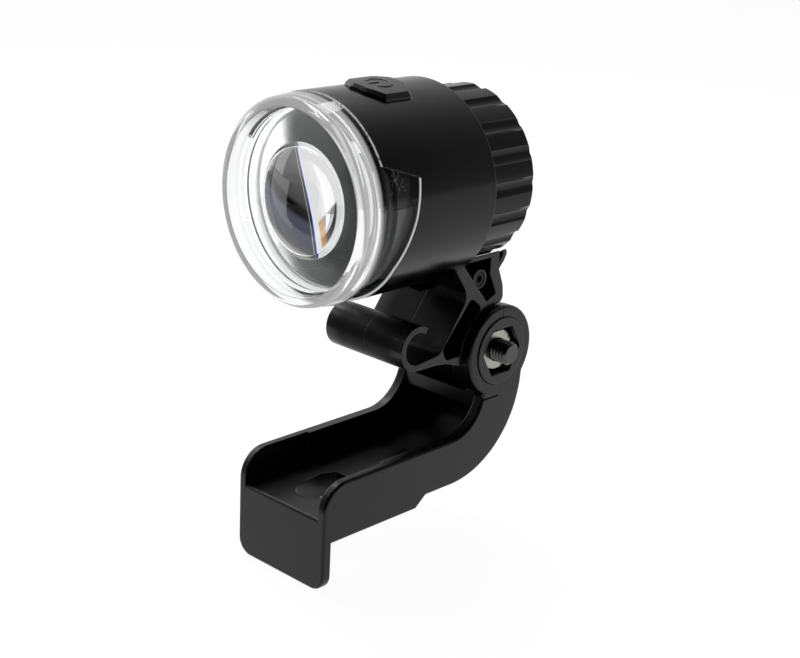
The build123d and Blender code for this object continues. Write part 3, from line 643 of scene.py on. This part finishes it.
button_turn = np.radians(8.2)
line_half_width = 0.5 * mm
line_height = 0.22 * mm
line_columns = 16
line_end_power = 24
line_end_width = 0.02
ring_radius = 2.8 * mm
ring_opening = np.radians(38)
ring_samples = 64
bar_start = 0.2 * mm
bar_end = 3.3 * mm
bar_samples = 24

button_low, button_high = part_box("power_button")
crown_radius = button_high.z - lamp_axis_height
symbol_centre_y = (button_low.y + button_high.y) / 2


def add_piece(name, points, faces, material):
    """Mesh object from an (n, 3) array of points and a list of faces."""
    mesh = bpy.data.meshes.new(name)
    mesh.from_pydata(points.tolist(), [], faces)
    mesh.polygons.foreach_set("use_smooth", np.ones(len(faces), bool))
    mesh.materials.append(material)
    mesh.update()
    piece = bpy.data.objects.new(name, mesh)
    bpy.context.scene.collection.objects.link(piece)
    return piece


def tube_faces(rows, columns):
    """Outward quads of a grid of rows by columns whose last column meets the first."""
    row, column = np.meshgrid(np.arange(rows - 1), np.arange(columns), indexing="ij")
    here = (row * columns + column).ravel()
    beside = (row * columns + (column + 1) % columns).ravel()
    return np.stack([here, beside, beside + columns, here + columns], axis=1)


def bead(path_x, path_y):
    """Raised line on the button's crown, along a path in x and y.

    At the turn t round the line, the place across it is line_half_width cos t, and the height
    over the crown sqrt(crown_radius^2 - x^2) is line_height sin t. At the share s of the path
    both are narrowed by sqrt(1 - |2 s - 1|^24), which rounds the ends. The whole is turned
    about the lamp axis from the top of the lamp to the button's place.
    """
    along = np.linspace(0, 1, len(path_x))
    rounded = np.sqrt(np.clip(1 - np.abs(2 * along - 1) ** line_end_power, 0, 1))
    taper = (rounded * (1 - line_end_width) + line_end_width)[:, None]
    side = np.stack([-np.gradient(path_y), np.gradient(path_x)], axis=1)
    side /= np.linalg.norm(side, axis=1)[:, None]
    turn = np.linspace(0, 2 * np.pi, line_columns, endpoint=False)[None, :]
    across = np.cos(turn) * line_half_width * taper
    x = path_x[:, None] + side[:, :1] * across
    y = path_y[:, None] + side[:, 1:] * across
    rise = np.sqrt(crown_radius ** 2 - x ** 2) + np.sin(turn) * line_height * taper
    turned_x = x * np.cos(button_turn) + rise * np.sin(button_turn)
    turned_z = rise * np.cos(button_turn) - x * np.sin(button_turn) + lamp_axis_height
    points = np.stack([turned_x, y, turned_z], axis=-1).reshape(-1, 3)
    return points, tube_faces(len(path_x), line_columns)


sweep = np.linspace(ring_opening, 2 * np.pi - ring_opening, ring_samples)
ring_points, ring_faces = bead(-ring_radius * np.sin(sweep), symbol_centre_y - ring_radius * np.cos(sweep))
bar_points, bar_faces = bead(np.zeros(bar_samples),
                             symbol_centre_y - np.linspace(bar_start, bar_end, bar_samples))
symbol_points = np.concatenate([ring_points, bar_points])
symbol_faces = np.concatenate([ring_faces, bar_faces + len(ring_points)])
button_black = moulded_black("button_black", level=0.005, gloss=0.34, grain=0.25 * mm, depth=0.006 * mm)
dress("power_button", button_black)
symbol = add_piece("power_symbol", symbol_points, symbol_faces.tolist(), button_black)
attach(symbol, "button")


# Rear cap: black nylon with shallow grip flutes, screwed in over a rubber ring. It is the
# glossiest of the mouldings.

cap_black = moulded_black("cap_black", level=0.002, gloss=0.13, depth=0.003 * mm, ior=1.28)
dress("rear_cap", cap_black)
dress("cap_seal", rubber)


# Truss bracket: two halves moulded in glass-filled nylon and held by one small screw. The web
# between the outer faces is painted darker and less reflective, as painted shade; the finish
# changes with the distance from the middle.

web_shade_to_face = (8 * mm, 12 * mm)


def bracket_moulding():
    """Black moulding whose outer faces have some gloss, while the web between them carries painted shade:
    darker, rougher and less reflective.
    """
    finish = Finish("bracket_black")
    skin = finish.noise(0.3 * mm, detail=2.0)
    patches = finish.noise(patch_size, detail=4.0)
    relief = finish.bump(skin, 0.008 * mm, 0.4 * mm)
    outer = finish.rise(abs(finish.axis("X")), *web_shade_to_face)
    # Painted shade: the web is darker and reflects less.
    web = finish.principled(Base_Color=0.002, Roughness=0.3 + patches * 0.1, IOR=1.2, Normal=relief)
    face = finish.principled(Base_Color=0.004, Roughness=0.2 + patches * 0.1, IOR=1.4, Normal=relief)
    return finish.close(finish.layer(outer, web, face))


bracket_black = bracket_moulding()
blackened = machined("blackened_steel", (0.02, 0.02, 0.022), 0.4)
for half in ("bracket_half_near", "bracket_half_far"):
    dress(half, bracket_black)
dress("bracket_screw", blackened)


# Pivot bolt and nut: an M6 bolt of plain dark steel and a zinc-plated nut in a hexagonal pocket.
# The bolt is a mesh with a real thread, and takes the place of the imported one.

bolt_radius = 3.0 * mm
thread_pitch = 1.0 * mm
thread_depth = 0.58 * mm
thread_length = 9.0 * mm
point_radius = bolt_radius - 1.1 * thread_depth
groove_slope = 2.3
groove_crest = 0.15
rod_rows = 420
rod_columns = 72
head_columns = 96
head_thickness = 4.0 * mm
head_chamfer = 0.8 * mm
head_face_share = 0.97
head_centre_hole = 0.01 * mm

bolt_low, bolt_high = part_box("pivot_bolt")
pivot_y = (bolt_low.y + bolt_high.y) / 2
pivot_z = (bolt_low.z + bolt_high.z) / 2
head_flats = bolt_high.z - bolt_low.z
head_start = bolt_low.x + head_thickness


def threaded_rod():
    """Rod along X with a helical groove, from the bolt's end to its head.

    The radius is bolt_radius - thread_depth clip(2.3 |p - 0.5| - 0.15, 0, 1), where the phase
    p is the fraction of x / pitch + turn / (2 pi). The groove fades into the plain shank over
    one pitch, and a 45 degree cone cuts the point down. The last point closes the end.
    """
    x = np.linspace(bolt_high.x, head_start, rod_rows)[:, None]
    turn = np.linspace(0, 2 * np.pi, rod_columns, endpoint=False)[None, :]
    phase = (x / thread_pitch + turn / (2 * np.pi)) % 1.0
    groove = np.clip(np.abs(phase - 0.5) * groove_slope - groove_crest, 0, 1)
    fade = np.clip((x - (bolt_high.x - thread_length)) / thread_pitch, 0, 1)
    cone = point_radius + (bolt_high.x - x)
    radius = np.minimum(bolt_radius - thread_depth * groove * fade, cone)
    y = pivot_y + radius * np.cos(turn)
    z = pivot_z + radius * np.sin(turn)
    points = np.stack([x + 0 * turn, y, z], axis=-1).reshape(-1, 3)
    rim = np.arange(rod_columns)
    tip = np.stack([np.full(rod_columns, len(points)), np.roll(rim, -1), rim], axis=1)
    faces = tube_faces(rod_rows, rod_columns).tolist() + tip.tolist()
    return np.concatenate([points, [[bolt_high.x, pivot_y, pivot_z]]]), faces


def hexagon_head():
    """Hexagon head along X, whose outer face is turned to a shallow cone at the corners.

    The six-sided radius is half the flats over the cosine of the angle to the nearest flat.
    The rows run from the middle of the back, over the sides, to the middle of the face.
    """
    turn = np.linspace(0, 2 * np.pi, head_columns, endpoint=False)
    corner = head_flats / 2 / np.cos(turn % (np.pi / 3) - np.pi / 6)
    face = np.full(head_columns, head_flats / 2 * head_face_share)
    hole = np.full(head_columns, head_centre_hole)
    x = np.array([head_start, head_start, bolt_low.x + head_chamfer, bolt_low.x, bolt_low.x])[:, None]
    radius = np.stack([0 * corner, corner, corner, face, hole])
    y = pivot_y + radius * np.cos(turn)
    z = pivot_z + radius * np.sin(turn)
    points = np.stack([x + 0 * turn, y, z], axis=-1).reshape(-1, 3)
    return points, tube_faces(len(x), head_columns)


rod_points, rod_faces = threaded_rod()
head_points, head_faces = hexagon_head()
bolt_points = np.concatenate([rod_points, head_points])
bolt_faces = rod_faces + (head_faces + len(rod_points)).tolist()
bolt_steel = machined("bolt_steel", (0.09, 0.086, 0.08), 0.15, grain=0.2 * mm)
bolt = add_piece("threaded_bolt", bolt_points, bolt_faces, bolt_steel)
smooth_by_angle(bolt)
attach(bolt, "lamp")
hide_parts("pivot_bolt")
dress("pivot_nut", machined("zinc_plate", (0.40, 0.40, 0.36), 0.27))


# Mounting arm: a channel moulded in glass-filled nylon with a keyhole slot, and the cap that
# closes its pivot bearing with two small screws.

arm_black = moulded_black("arm_black", gloss=0.32, grain=0.35 * mm, depth=0.012 * mm, edge=0.4 * mm)
dress("bearing_cap", arm_black)
dress("bearing_cap_screws", blackened)
dress("lower_bracket", arm_black)
